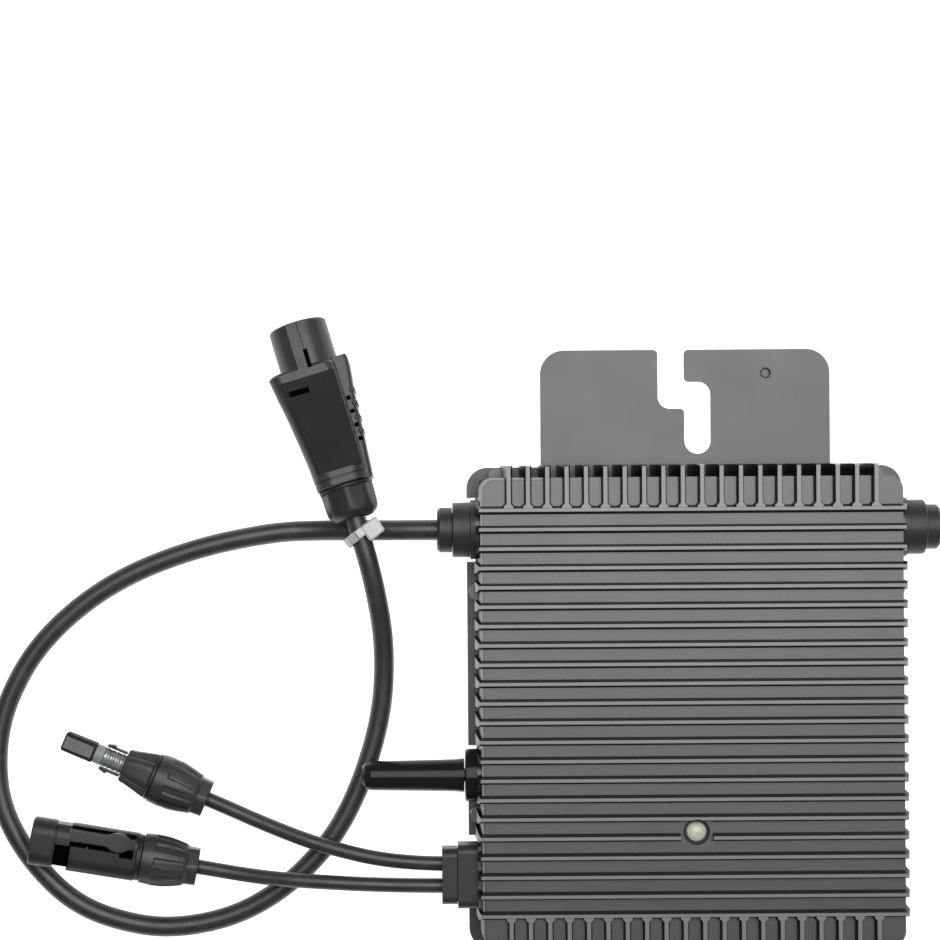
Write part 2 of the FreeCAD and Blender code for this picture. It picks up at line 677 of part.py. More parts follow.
def make_ac_connector():
    place = aimed(AC_START, AC_FRONT)
    nut = [(5.3, 0.5), (9, 0.5), (11.6, 2), (12.4, 4.5), (12.4, 14.8), (13, 15), (13, 16), (10, 16),
           (10, 8), (5.3, 8)]
    turned("ac_connector_nut", nut, place)
    turned("ac_connector_seal", tube_profile(5.2, 8.6, 8.6, 11.2), place)
    stub = turned("ac_stub", tube_profile(7, 9.6, 11.4, 20), keep_it=False)
    body = new_body("ac_hull")
    corners = [(13.5, 16.3), (14.8, 36), (17, 54), (20.1, 73.5), (19.4, 74.9), (-18.4, 76.4), (-19.4, 70),
               (-17.8, 58), (-16.3, 38), (-14.2, 16.3)]
    sketch = outline(sketch_on(body, "XZ_Plane", offset=-14.4), corners)
    pad(body, sketch, 28.8)
    round_edges(body, 6, lambda edge: edge.BoundBox.YLength < 0.1 and edge.BoundBox.ZLength > 12)
    barrel = turned("ac_barrel", tube_profile(0, 14, 75, 96.7), keep_it=False)
    hull = joined("ac_hull_whole", [body, barrel])
    hollow = [rod("ac_hollow", 11.4, 80, at(0, 0, 20)), rod("ac_throat", 7, 12, at(0, 0, 11))]
    whole = joined("ac_shell", [minus("ac_hull", hull, joined("ac_hollows", hollow)), stub])
    item = keep("ac_connector_shell", whole)
    item.Placement = place
    face = rod("insert_face", 11.2, 16, at(0, 0, 80))
    spots = [(0, 5.4), (-4.8, -3.2), (4.8, -3.2)]
    holes = [rod("insert_hole", 1.9, 18, at(x, y, 79)) for x, y in spots]
    insert = keep("ac_connector_insert", minus("ac_insert", face, joined("insert_holes", holes)))
    insert.Placement = place
    pins = [rod("contact_pin", 1.7, 18, place * at(x, y, 75)) for x, y in spots]
    group("ac_connector_contacts", pins)


def make_tie():
    """A strap looped round both stretches of lead where they cross, with its head on top."""
    centre = Vector(-154.8, 85.2, 16.6)
    turn = Rotation(Vector(0, 0, 1), 37) * Rotation(Vector(1, 0, 0), 90)
    ring = rounded_block("tie_ring", 19, 26.6, 7.5, -2.25, 2.25)
    hollow = rounded_block("tie_hollow", 16.6, 24.2, 6.5, -8, 8)
    head = block("tie_head", (0.5, 10.4, -2), (9, 4.4, 8))
    item = minus("tie", joined("tie_band", [ring, head]), hollow)
    item.Placement = Placement(centre, turn)
    keep("cable_tie", item)


# Inside

def board_screw_places():
    return [(x, y) for x in (-84, 84) for y in (-90, 66)]


def on_board(label, x, y, length, width, height):
    corner = (f"{x} - {length} / 2", f"{y} - {width} / 2", "board_level + board_thick")
    return block(label, corner, (length, width, height))


def make_board():
    board = block("board", ("0 - board_width / 2", "0 - board_height / 2", "board_level"),
                  ("board_width", "board_height", "board_thick"))
    holes = [rod("board_hole", 1.6, 4, at(x, y, "board_level - 1")) for x, y in board_screw_places()]
    keep("main_board", minus("board", board, joined("board_holes", holes)))


def make_inside():
    make_board()
    top = "board_level + board_thick"
    can = turned("can", [(0, 0), (8, 0), (8, 19.4), (7.4, 20), (0, 20)], keep_it=False)
    copies("input_capacitors", can, [at(x, y, top) for x in (-54, -36) for y in (-66, -48, -30)])
    group("film_capacitors", [on_board("film", x, 38, 12, 26, 16) for x in (28, 42, 56)])
    make_transformer(-4, 10)
    turned("choke_core", tube_profile(8, 13, 2, 12), at(-52, 26, top))
    winding = [(7, 1), (14, 1), (14, 13), (7, 13), (7, 12), (8, 12), (13, 12), (13, 2), (8, 2), (7, 2)]
    turned("choke_winding", winding, at(-52, 26, top))
    make_power_stage()
    group("relays", [on_board("relay", x, 82, 19, 15, 15) for x in (-16, 10)])
    keep("controller_chip", on_board("controller", 34, -24, 14, 14, 1.6))
    keep("wifi_module", on_board("wifi", -70, -6, 18, 22, 3))
    group("ac_terminal_blocks", [on_board("ac_block", x, "ac_row", 22, 20, 14) for x in (-66, 66)])
    keep("dc_terminal_block", on_board("dc_block", -72, "pv_row", 15, 24, 14))
    make_lamp()


def make_transformer(x, y):
    """A core whose two windows hold the winding round its middle leg."""
    base = "board_level + board_thick"
    core = on_board("core", x, y, 42, 34, 20)
    windows = [on_board("window", x + offset, y, 8, 40, 13) for offset in (-11, 11)]
    for window in windows:
        bind(window, "Placement.Base.z", f"{base} + 3.5")
    keep("transformer_core", minus("core", core, joined("windows", windows)))
    coil = rounded_block("coil", 29.6, 49, 6, 0, 12.6)
    leg = rounded_block("leg", 14.8, 34.8, 0.3, -1, 14)
    winding = minus("winding", coil, leg)
    winding.Placement = at(x, y, f"{base} + 3.7")
    keep("transformer_winding", winding)


def make_power_stage():
    """Flat transistor packages pressed against the roof, each on its pad, with legs to the board."""
    roof = "face_level - roof"
    pads, packages = [], []
    for x in (20, 38, 56, 74):
        for y in (-72, -48):
            pads.append(block("pad", (x - 7, y - 9, f"{roof} - 0.5"), (14, 18, 0.5)))
            packages.append(block("package", (x - 5, y - 8, f"{roof} - 5"), (10, 16, 4.5)))
            leg_height = f"{roof} - 5 - board_level - board_thick"
            packages.append(block("legs", (x - 4, y - 1, "board_level + board_thick"), (8, 1, leg_height)))
    group("thermal_pads", pads)
    group("power_transistors", packages)


def make_lamp():
    place = at("lamp_x", "lamp_y", 0)
    lens = [(0, 29), (2.4, 29), (2.4, 33.4), (4.8, 33.4), (4.8, 34.6), (4.2, 35.8), (2.6, 36.7), (0, 37)]
    turned("led_lens", lens, place)
    turned("led_lens_seal", tube_profile(4.85, 6.15, 32.6, 33.8), place)
    lamp = [(0, 10.6), (2.9, 10.6), (2.9, 12), (2.5, 12), (2.5, 17), (1.6, 18.8), (0, 19.4)]
    turned("status_led", lamp, place)


def check(items):
    """Stops if any object failed, before anything is written."""
    for item in doc.Objects:
        if "Invalid" in item.State or "Error" in item.State:
            raise RuntimeError(f"{item.Name} failed: {item.State}")
    for item in items:
        if item.Shape.isNull() or not item.Shape.isValid():
            raise RuntimeError(f"{item.Label} has no valid shape")


def main():
    fill_sheet()
    make_housing()
    make_cover()
    make_seal()
    make_bracket()
    make_fasteners()
    make_ac_gland("ac_in_gland", -1)
    make_ac_gland("ac_out_gland", 1)
    make_pv_gland()
    make_antenna()
    make_wires()
    make_lead("ac_cable", AC_ROUTE, "ac_lead")
    make_lead("pv_plus_cable", PLUS_ROUTE, "pv_lead")
    make_lead("pv_minus_cable", MINUS_ROUTE, "pv_lead")
    make_plus_connector()
    make_minus_connector()
    make_ac_connector()
    make_tie()
    make_inside()
    doc.recompute()
    check(subparts)
    os.makedirs(PARTS_FOLDER, exist_ok=True)
    for item in subparts:
        item.Shape.exportStep(os.path.join(PARTS_FOLDER, item.Label + ".step"))
    print(len(subparts), "sub-parts")


main()
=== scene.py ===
"""String inverter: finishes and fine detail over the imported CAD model.

Lengths are in metres in the part's own frame: X to the right, Y up the face, Z out of the back cover.
Connector and tie pieces are shaped in millimetres along their own Z axis, then placed.
"""

import math

import bmesh
import bpy
from mathutils import Matrix, Vector


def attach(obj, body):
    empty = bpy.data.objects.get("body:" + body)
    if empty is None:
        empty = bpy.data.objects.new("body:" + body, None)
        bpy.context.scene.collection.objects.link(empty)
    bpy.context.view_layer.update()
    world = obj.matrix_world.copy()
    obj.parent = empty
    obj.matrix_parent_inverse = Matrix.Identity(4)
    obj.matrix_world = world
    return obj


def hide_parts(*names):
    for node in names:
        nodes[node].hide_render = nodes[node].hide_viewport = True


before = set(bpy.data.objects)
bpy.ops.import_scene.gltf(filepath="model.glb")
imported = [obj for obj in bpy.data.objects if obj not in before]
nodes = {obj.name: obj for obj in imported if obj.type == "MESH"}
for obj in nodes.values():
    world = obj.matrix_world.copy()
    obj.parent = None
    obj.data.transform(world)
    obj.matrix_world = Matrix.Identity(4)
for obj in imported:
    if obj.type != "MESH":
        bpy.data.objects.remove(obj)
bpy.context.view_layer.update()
MM = 0.001

AC_ROUTE = [
    (-0.110, 0.086, 0.018), (-0.137, 0.086, 0.018), (-0.174, 0.0863, 0.0049), (-0.199, 0.0857, 0.0049),
    (-0.2404, 0.0771, 0.0049), (-0.2789, 0.0609, 0.0049), (-0.3104, 0.0348, 0.0049),
    (-0.3275, 0.0055, 0.0049), (-0.3329, -0.0203, 0.0049), (-0.3304, -0.0467, 0.0049),
    (-0.3164, -0.0722, 0.0049), (-0.294, -0.0942, 0.0049), (-0.2632, -0.1042, 0.0049),
    (-0.2383, -0.1042, 0.0049), (-0.212, -0.0972, 0.0049), (-0.1871, -0.0808, 0.0049),
    (-0.1638, -0.0538, 0.0049), (-0.147, -0.008, 0.0049), (-0.1444, 0.030, 0.009),
    (-0.1495, 0.062, 0.0208), (-0.1564, 0.0866, 0.02275), (-0.1612, 0.1029, 0.0216),
]
PLUS_ROUTE = [
    (-0.112, -0.07275, 0.019), (-0.138, -0.07275, 0.019), (-0.174, -0.0644, 0.0194),
    (-0.202, -0.0544, 0.0136), (-0.2257, -0.04395, 0.01153), (-0.2441, -0.0361, 0.01226),
]
MINUS_ROUTE = [
    (-0.112, -0.08325, 0.019), (-0.140, -0.0832, 0.019), (-0.184, -0.0806, 0.0194),
    (-0.2075, -0.079, 0.0139), (-0.2301, -0.0753, 0.01175), (-0.2497, -0.0717, 0.01335),
]
AC_DIAMETER, PV_DIAMETER = 0.0097, 0.007

FACE_HALF_SIZE = (0.09898, 0.10998)
FACE_CORNER = 0.0065
FACE_LEVEL = 0.036
RIB_TOP_LEVEL = 0.03915
# Widths of the painted highlight band along the face's left rim and the painted shade band inside it.
RIM_WIDTH, RIM_SHADE_WIDTH = 0.0008, 0.000775
RIM_ENDS_AT_X = -0.07025


# Finishes

def surface(name, dark, light, rough, metallic=0.0, specular=0.5, patch=0.03, spread=0.06,
            grain=0.0006, depth=0.00001, clear=0.0):
    """A finish whose tone and gloss drift over patches, with a fine grain on top.

    patch and grain are the sizes of the two patterns, and depth is the height of the grain.
    """
    made = bpy.data.materials.new(name)
    made.use_nodes = True
    tree = made.node_tree
    shader = tree.nodes["Principled BSDF"]
    place = tree.nodes.new("ShaderNodeTexCoord").outputs["Object"]

    def noise(size, detail):
        node = tree.nodes.new("ShaderNodeTexNoise")
        node.inputs["Scale"].default_value = 1 / size
        node.inputs["Detail"].default_value = detail
        tree.links.new(place, node.inputs["Vector"])
        return node.outputs["Fac"]

    tone = tree.nodes.new("ShaderNodeValToRGB")
    tone.color_ramp.elements[0].position = 0.32
    tone.color_ramp.elements[0].color = (*dark, 1)
    tone.color_ramp.elements[1].position = 0.68
    tone.color_ramp.elements[1].color = (*light, 1)
    tree.links.new(noise(patch, 4), tone.inputs["Fac"])
    tree.links.new(tone.outputs["Color"], shader.inputs["Base Color"])
    gloss = tree.nodes.new("ShaderNodeMapRange")
    gloss.inputs["From Min"].default_value = 0.3
    gloss.inputs["From Max"].default_value = 0.7
    gloss.inputs["To Min"].default_value = rough - spread
    gloss.inputs["To Max"].default_value = rough + spread
    tree.links.new(noise(patch / 2.5, 5), gloss.inputs["Value"])
    tree.links.new(gloss.outputs["Result"], shader.inputs["Roughness"])
    bump = tree.nodes.new("ShaderNodeBump")
    bump.inputs["Distance"].default_value = depth
    tree.links.new(noise(grain, 2), bump.inputs["Height"])
    tree.links.new(bump.outputs["Normal"], shader.inputs["Normal"])
    shader.inputs["Metallic"].default_value = metallic
    shader.inputs["Specular IOR Level"].default_value = specular
    shader.inputs["Transmission Weight"].default_value = clear
    return made


def grey(level, blue=1.0):
    return (level, level, level * blue)


def shade_castings(made, painted_highlight, shadow):
    """A painted highlight tone on the crests and along the face's left rim, a painted shade band inside that
    rim, and a painted shade tone on every steep flank.
    """
    tree = made.node_tree
    shader = tree.nodes["Principled BSDF"]
    flat = shader.inputs["Base Color"].links[0].from_socket
    spot = tree.nodes.new("ShaderNodeNewGeometry")

    def vector(operation, first, second=(0, 0, 0), out="Vector"):
        node = tree.nodes.new("ShaderNodeVectorMath")
        node.operation = operation
        tree.links.new(first, node.inputs[0])
        node.inputs[1].default_value = second
        return node.outputs[out]

    def axis(socket, name):
        node = tree.nodes.new("ShaderNodeSeparateXYZ")
        tree.links.new(spot.outputs[socket], node.inputs["Vector"])
        return node.outputs[name]

    def past(value, limit, blur):
        """One beyond the limit and zero before it; a negative blur swaps the two."""
        node = tree.nodes.new("ShaderNodeMapRange")
        node.interpolation_type = "SMOOTHSTEP"
        node.inputs["From Min"].default_value = limit - blur
        node.inputs["From Max"].default_value = limit + blur
        tree.links.new(value, node.inputs["Value"])
        return node.outputs["Result"]

    def both(first, second):
        node = tree.nodes.new("ShaderNodeMath")
        node.operation = "MULTIPLY"
        tree.links.new(first, node.inputs[0])
        tree.links.new(second, node.inputs[1])
        return node.outputs["Value"]

    def mixed(factor, below, colour):
        node = tree.nodes.new("ShaderNodeMix")
        node.data_type = "RGBA"
        tree.links.new(factor, node.inputs["Factor"])
        tree.links.new(below, node.inputs["A"])
        node.inputs["B"].default_value = (*colour, 1)
        return node.outputs["Result"]

    height = axis("Position", "Z")
    inner = (FACE_HALF_SIZE[0] - FACE_CORNER, FACE_HALF_SIZE[1] - FACE_CORNER, 0)
    folded = vector("ABSOLUTE", vector("MULTIPLY", spot.outputs["Position"], (1, 1, 0)))
    reach = vector("LENGTH", vector("MAXIMUM", vector("SUBTRACT", folded, inner)), out="Value")
    on_face = both(past(height, FACE_LEVEL - 0.0006, 0.0001), past(height, FACE_LEVEL + 0.0007, -0.0001))
    on_left = both(on_face, past(axis("Position", "X"), RIM_ENDS_AT_X, -0.00025))
    rim_start = FACE_CORNER - RIM_WIDTH
    rim = both(on_left, past(reach, rim_start, 0.00005))
    # A painted shade band just inside the left rim.
    rim_shade_band = both(on_left, both(past(reach, rim_start - RIM_SHADE_WIDTH, 0.000075),
                              past(reach, rim_start, -0.00005)))
    # Painted highlight: a light tone on the rib crests.
    colour = mixed(past(height, RIB_TOP_LEVEL, 0.00065), flat, painted_highlight)
    colour = mixed(rim_shade_band, colour, shadow)
    # Painted highlight along the left rim's rounded edge.
    colour = mixed(rim, colour, painted_highlight)
    # Painted shade on every steep flank.
    colour = mixed(past(axis("True Normal", "Z"), 0.675, -0.175), colour, shadow)
    tree.links.new(colour, shader.inputs["Base Color"])


shell_coat = surface("shell_coat", grey(0.023, 1.03), grey(0.027, 1.03), 0.36, specular=0.62, patch=0.06,
                     spread=0.015, depth=0.000012)
# The light tone is a painted highlight and the shadow tone is painted shade.
shade_castings(shell_coat, painted_highlight=grey(0.11), shadow=grey(0.0015))
cover_coat = surface("cover_coat", grey(0.016), grey(0.024), 0.42, specular=0.5)
bracket_coat = surface("bracket_coat", grey(0.026), grey(0.031), 0.4, specular=0.58, patch=0.07,
                       spread=0.03)
screw_metal = surface("screw_metal", grey(0.42), grey(0.6), 0.3, metallic=1.0, patch=0.004)
insert_metal = surface("insert_metal", grey(0.03), grey(0.06), 0.35, metallic=0.6, patch=0.004)
moulding = surface("moulding", grey(0.014, 1.08), grey(0.019, 1.08), 0.4, specular=0.22, patch=0.02)
# Painted light: a lighter, glossier copy of moulding for the connector parts that catch the softbox.
moulding_lit = surface("moulding_lit", grey(0.022, 1.1), grey(0.03, 1.1), 0.36, specular=0.3, patch=0.02)
moulding_dull = surface("moulding_dull", grey(0.012, 1.05), grey(0.017, 1.05), 0.55, specular=0.06,
                        patch=0.015)
# Painted shade: a dead black for sheets set in hollows where only shade falls.
painted_shade_black = surface("painted_shade_black", grey(0.0012), grey(0.002), 0.9, specular=0.0, patch=0.004)
gland_plastic = surface("gland_plastic", grey(0.018, 1.03), grey(0.025, 1.03), 0.4, specular=0.24,
                        patch=0.015)
antenna_gloss = surface("antenna_gloss", grey(0.006, 1.15), grey(0.009, 1.2), 0.16, specular=0.14,
                        spread=0.02)
jacket = surface("jacket", grey(0.016), grey(0.026), 0.36, specular=0.4, patch=0.012, grain=0.0012,
                 depth=0.00003)
pv_jacket = surface("pv_jacket", grey(0.014), grey(0.024), 0.38, specular=0.4, patch=0.012, grain=0.001,
                    depth=0.00002)
seal = surface("seal", grey(0.01), grey(0.016), 0.6, specular=0.3, patch=0.006)
ring_rubber = surface("ring_rubber", (0.13, 0.16, 0.18), (0.17, 0.2, 0.22), 0.5, patch=0.004)
nose_satin = surface("nose_satin", grey(0.16), grey(0.3), 0.3, metallic=0.6, patch=0.002, grain=0.0004)
# Painted highlight: a pale grey for a strip on top of the plus plug's tip.
painted_tip_highlight = surface("painted_tip_highlight", grey(0.1), grey(0.13), 0.4, specular=0.2, patch=0.006)
lens_milk = surface("lens_milk", (0.4, 0.4, 0.33), (0.48, 0.48, 0.4), 0.25, patch=0.003, clear=0.15)
tie_nylon = surface("tie_nylon", grey(0.42), grey(0.52), 0.35, patch=0.004, clear=0.2)
contact = surface("contact", (0.62, 0.5, 0.25), (0.75, 0.63, 0.36), 0.25, metallic=1.0, patch=0.004)
board_mask = surface("board_mask", (0.006, 0.06, 0.02), (0.01, 0.09, 0.03), 0.35, patch=0.01)
can_sleeve = surface("can_sleeve", (0.02, 0.02, 0.05), (0.03, 0.03, 0.08), 0.3, patch=0.006)
film_box = surface("film_box", (0.5, 0.38, 0.05), (0.6, 0.46, 0.08), 0.4, patch=0.006)
ferrite = surface("ferrite", grey(0.03), grey(0.05), 0.6, patch=0.005, depth=0.00003)
winding = surface("winding", (0.5, 0.2, 0.06), (0.65, 0.3, 0.1), 0.3, metallic=0.8, patch=0.002)
package = surface("package", grey(0.015), grey(0.025), 0.5, patch=0.004)
pad_grey = surface("pad_grey", grey(0.35, 1.15), grey(0.42, 1.15), 0.7, patch=0.005)
relay_blue = surface("relay_blue", (0.02, 0.08, 0.3), (0.03, 0.11, 0.38), 0.35, patch=0.006)
terminal_green = surface("terminal_green", (0.03, 0.2, 0.06), (0.05, 0.26, 0.09), 0.4, patch=0.005)
core_wire = surface("core_wire", (0.3, 0.07, 0.02), (0.38, 0.1, 0.03), 0.4, patch=0.005)

FINISHES = {
    shell_coat: ["heatsink_housing"],
    cover_coat: ["rear_cover"],
    bracket_coat: ["hanging_bracket"],
    screw_metal: ["cover_screws", "bracket_screws", "board_screws"],
    insert_metal: ["earth_clinch_nut", "antenna_element", "antenna_socket_nut"],
    gland_plastic: ["ac_in_gland_body", "ac_in_gland_nut", "ac_out_gland_body", "ac_out_gland_nut",
                    "pv_gland_body", "pv_gland_cap"],
    seal: ["cover_seal", "led_lens_seal", "ac_in_gland_seal", "ac_out_gland_seal", "pv_gland_seal",
           "ac_connector_seal", "pv_plus_seal", "pv_minus_seal"],
    antenna_gloss: ["antenna_sleeve", "antenna_socket"],
    moulding_dull: ["ac_connector_insert"],
    moulding: ["pv_plus_latch_upper", "pv_plus_latch_lower"],
    lens_milk: ["led_lens", "status_led"],
    contact: ["ac_connector_contacts", "pv_plus_contact", "pv_minus_contact"],
    board_mask: ["main_board", "wifi_module"],
    can_sleeve: ["input_capacitors"],
    film_box: ["film_capacitors"],
    ferrite: ["transformer_core", "choke_core"],
    winding: ["transformer_winding", "choke_winding"],
    package: ["power_transistors", "controller_chip"],
    pad_grey: ["thermal_pads"],
    relay_blue: ["relays"],
    terminal_green: ["ac_terminal_blocks", "dc_terminal_block"],
    core_wire: ["inner_wires", "antenna_lead"],
}
for finish, names in FINISHES.items():
    for name in names:
        nodes[name].data.materials.clear()
        nodes[name].data.materials.append(finish)


def smooth(item):
    for face in item.data.polygons:
        face.use_smooth = True


def soften(item, width, segments=2, flat=False):
    """Rounds an object's sharp edges a little; flat first joins each plane into one face."""
    if flat:
        item.modifiers.new("join", "WELD").merge_threshold = 0.000002
        thin = item.modifiers.new("flats", "DECIMATE")
        thin.decimate_type = "DISSOLVE"
        thin.angle_limit = math.radians(1)
    edge = item.modifiers.new("edges", "BEVEL")
    edge.width = width
    edge.segments = segments
    edge.limit_method = "ANGLE"
    edge.angle_limit = math.radians(32)
    edge.harden_normals = False
    item.modifiers.new("shading", "WEIGHTED_NORMAL").keep_sharp = False
    smooth(item)


soften(nodes["heatsink_housing"], 0.00022, 3, flat=True)
soften(nodes["hanging_bracket"], 0.0004, 3, flat=True)
soften(nodes["rear_cover"], 0.0004, 3, flat=True)
soften(nodes["pv_gland_cap"], 0.0022, 5, flat=True)
soften(nodes["pv_gland_body"], 0.0008, 4, flat=True)


# Leads

def lead(name, points, diameter, finish, node):
    """A smooth round lead through the points, in place of the plain tube of the CAD."""
    curve = bpy.data.curves.new(name, "CURVE")
    curve.dimensions = "3D"
    spline = curve.splines.new("NURBS")
    spline.points.add(len(points) - 1)
    for target, point in zip(spline.points, points):
        target.co = (*point, 1)
    spline.order_u = 3
    spline.use_endpoint_u = True
    curve.resolution_u = 16
    curve.bevel_depth = diameter / 2
    curve.bevel_resolution = 8
    curve.use_fill_caps = True
    curve.materials.append(finish)
    item = bpy.data.objects.new(name, curve)
    bpy.context.scene.collection.objects.link(item)
    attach(item, "root")
    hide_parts(node)
    return item


ac_lead = lead("ac_lead", AC_ROUTE, AC_DIAMETER, jacket, "ac_cable")
plus_lead = lead("plus_lead", PLUS_ROUTE, PV_DIAMETER, pv_jacket, "pv_plus_cable")
minus_lead = lead("minus_lead", MINUS_ROUTE, PV_DIAMETER, pv_jacket, "pv_minus_cable")


# Mesh tools, in millimetres

def aimed(start, front):
    """Local Z runs forward, local X is left of travel and local Y is up."""
    start, front = Vector(start), Vector(front)
    forward = (front - start).normalized()
    side = Vector((0, 0, 1)).cross(forward).normalized()
    turn = Matrix((side, forward.cross(side), forward)).transposed().to_4x4()
    return Matrix.Scale(MM, 4) @ Matrix.Translation(start) @ turn


def ring(z, left, right, low, high, corner, steps):
    """A rounded rectangle across the axis, anticlockwise seen from the front."""
    points = []
    centres = ((left - corner, high - corner, 0), (right + corner, high - corner, 90),
               (right + corner, low + corner, 180), (left - corner, low + corner, 270))
    for x, y, first in centres:
        for step in range(steps + 1):
            angle = math.radians(first + 90 * step / steps)
            points.append((x + corner * math.cos(angle), y + corner * math.sin(angle), z))
    return points


def around(z, radius, steps):
    """A closed ring about the axis; radius may be a number or a function of the angle."""
    points = []
    for step in range(steps):
        angle = 2 * math.pi * step / steps
        reach = radius(angle) if callable(radius) else radius
        points.append((reach * math.cos(angle), reach * math.sin(angle), z))
    return points


def skin(rings, closed=False):
    """A solid through rings of equal length; closed joins the last ring to the first instead of capping."""
    build = bmesh.new()
    rows = [[build.verts.new(point) for point in row] for row in rings]
    count = len(rows[0])
    pairs = list(zip(rows, rows[1:])) + ([(rows[-1], rows[0])] if closed else [])
    for low, high in pairs:
        for i in range(count):
            k = (i + 1) % count
            build.faces.new((low[i], low[k], high[k], high[i]))
    if not closed:
        build.faces.new(rows[0][::-1])
        build.faces.new(rows[-1])
    mesh = bpy.data.meshes.new("skin")
    build.to_mesh(mesh)
    build.free()
    item = bpy.data.objects.new("skin", mesh)
    bpy.context.scene.collection.objects.link(item)
    return item


def brick(left, right, low, high, back, front, corner):
    """A straight bar along the axis with rounded corners."""
    return skin([ring(z, left, right, low, high, corner, 3) for z in (back, front)])


def turned(profile, steps=72, closed=False):
    """A round solid from rows of (z, radius)."""
    return skin([around(z, radius, steps) for z, radius in profile], closed)


def rod(radius, back, front, steps=32):
    return turned([(back, radius), (front, radius)], steps)


def merged(base, others, operation):
    """Adds the other solids to the base, or cuts them from it."""
    for other in others:
        step = base.modifiers.new("step", "BOOLEAN")
        step.operation = operation
        step.object = other
        step.solver = "EXACT"
    graph = bpy.context.evaluated_depsgraph_get()
    mesh = bpy.data.meshes.new_from_object(base.evaluated_get(graph))
    base.modifiers.clear()
    base.data = mesh
    for other in others:
        bpy.data.objects.remove(other)
    return base


def joined(parts):
    return merged(parts[0], parts[1:], "UNION")


def piece(name, item, place, finish, edge, body="root", replaced=None):
    """Places a shaped solid, gives it its finish and edge rounding, and sets it on its body."""
    item.name = name
    item.data.name = name
    item.data.transform(place)
    item.data.materials.clear()
    item.data.materials.append(finish)
    if edge:
        soften(item, edge)
    else:
        smooth(item)
    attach(item, body)
    if replaced:
        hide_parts(replaced)
    return item


def between(z, table):
    """The value at z on straight lines through a table of (z, value)."""
    for (z0, v0), (z1, v1) in zip(table, table[1:]):
        if z <= z1:
            share = max(0.0, (z - z0) / (z1 - z0))
            return v0 + (v1 - v0) * share
    return table[-1][1]


def step_up(value, end):
    """Eases from zero to one while the value goes from zero to the end."""
    share = min(1.0, max(0.0, value / end))
    return share * share * (3 - 2 * share)


def off_flat(angle, sides, turn=0.0):
    """The angle from the middle of the nearest of the sides."""
    half = math.pi / sides
    return (angle - turn + half) % (2 * half) - half


# Mains connector

AC_PLACE = aimed((-157.8, 91.4, 22.4), (-185.6, 183.8, 14.6))
LEFT_EDGE = [(16.3, 13.5), (28, 14.1), (36, 14.8), (45, 15.9), (54, 17), (64, 18.7), (73.5, 20.1),
             (74.9, 19.5)]
RIGHT_EDGE = [(16.3, 13.9), (38, 15.7), (51, 16.7), (58, 17.2), (70, 18.8), (75, 18.9), (76.4, 18.4)]
FACE_HEIGHT = [(16.3, 13), (40, 13.8), (60, 14.4), (76.4, 14.4)]
HULL_CORNER = [(16.3, 9.5), (45, 7), (76.4, 6)]
HULL_RIGHT = -12.4
WING_HOLES = (35.2, 42, 48.8, 55.4)
WING_BARS = (38.8, 45.4, 52.2, 58.8)
PANEL_STATIONS = (23.5, 39, 56, 69.8)


def panel_ring(z, low, high):
    return ring(z, between(z, LEFT_EDGE) - 3.2, -11.2, low, high, 1.2, 4)


def latch_slot(low):
    return brick(12.6, 2.6, low, 17, 62.3, 65.3, 0.5)


def make_ac_panel():
    """The dull panel let into the face."""
    panel = skin([panel_ring(z, 10, between(z, FACE_HEIGHT) - 0.3) for z in PANEL_STATIONS])
    return merged(panel, [latch_slot(12)], "DIFFERENCE")


def make_ac_floors():
    """Black sheets of painted shade at the floors of the latch slot, the key slot and the holes in the wing.
    """
    latch = brick(12.5, 2.7, 11.8, 12.4, 62.4, 65.2, 0.4)
    key = brick(0.15, -1.85, 11.6, 12.4, 74, 82.7, 0.2)
    return joined([latch, key] + [brick(-12.7, -14.7, 6, 6.5, z - 0.95, z + 0.95, 0.2) for z in WING_HOLES])


def make_ac_hull():
    """The wedge-shaped body, with a groove round its foot."""
    rows = []
    foot = [(16.3, 0.8), (17, 0), (19.6, 0), (19.9, 0.5), (20.4, 0.5), (20.7, 0)]
    sides = [(z, 0) for z in (28, 33, 39, 45, 51, 56, 61, 66, 73.5)]
    rim = [(74.4, 0.4), (74.9, 1.1)]
    for z, inset in foot + sides + rim:
        tall = between(z, FACE_HEIGHT) - inset
        rows.append(ring(z, between(z, LEFT_EDGE) - inset, HULL_RIGHT + inset, -tall, tall,
                         between(z, HULL_CORNER), 8))
    return skin(rows)


def make_ac_shell():
    """The hull with its side wing and barrel, opened from both ends."""
    hull = make_ac_hull()
    wing = skin([ring(z, 0, -between(z, RIGHT_EDGE), -7.5, 7.5, 2.5, 5)
                 for z in (16.8, 28, 38, 51, 58, 64, 70, 75, 76.2)])
    barrel = turned([(75, 14), (95.9, 14), (96.7, 13.3)])
    key_rib = brick(5.1, -0.4, 0, 14.15, 74, 96.2, 0.4)
    body = merged(hull, [wing, barrel, key_rib], "UNION")
    openings = [latch_slot(12.2)]
    openings += [brick(-12.6, -14.8, 6.2, 9, z - 1.0, z + 1.0, 0.2) for z in WING_HOLES]
    openings.append(skin([panel_ring(z, between(z, FACE_HEIGHT) - 0.35, 18) for z in PANEL_STATIONS]))
    keyway = [brick(0.2, -1.9, 12, 16, 73.5, 82.8, 0.2), brick(-0.4, -1.0, 13.2, 16, 82, 97.5, 0.1)]
    bore, throat = rod(11.45, 80, 98, 48), rod(7, 15, 81)
    return merged(body, openings + keyway + [bore, throat], "DIFFERENCE")


def make_ac_bars():
    """Four grip bars over the wing's outer edge."""
    return joined([brick(-between(z, RIGHT_EDGE) + 2.4, -between(z, RIGHT_EDGE) - 0.5, -6.2, 7.85,
                         z - 0.75, z + 0.75, 0.7) for z in WING_BARS])


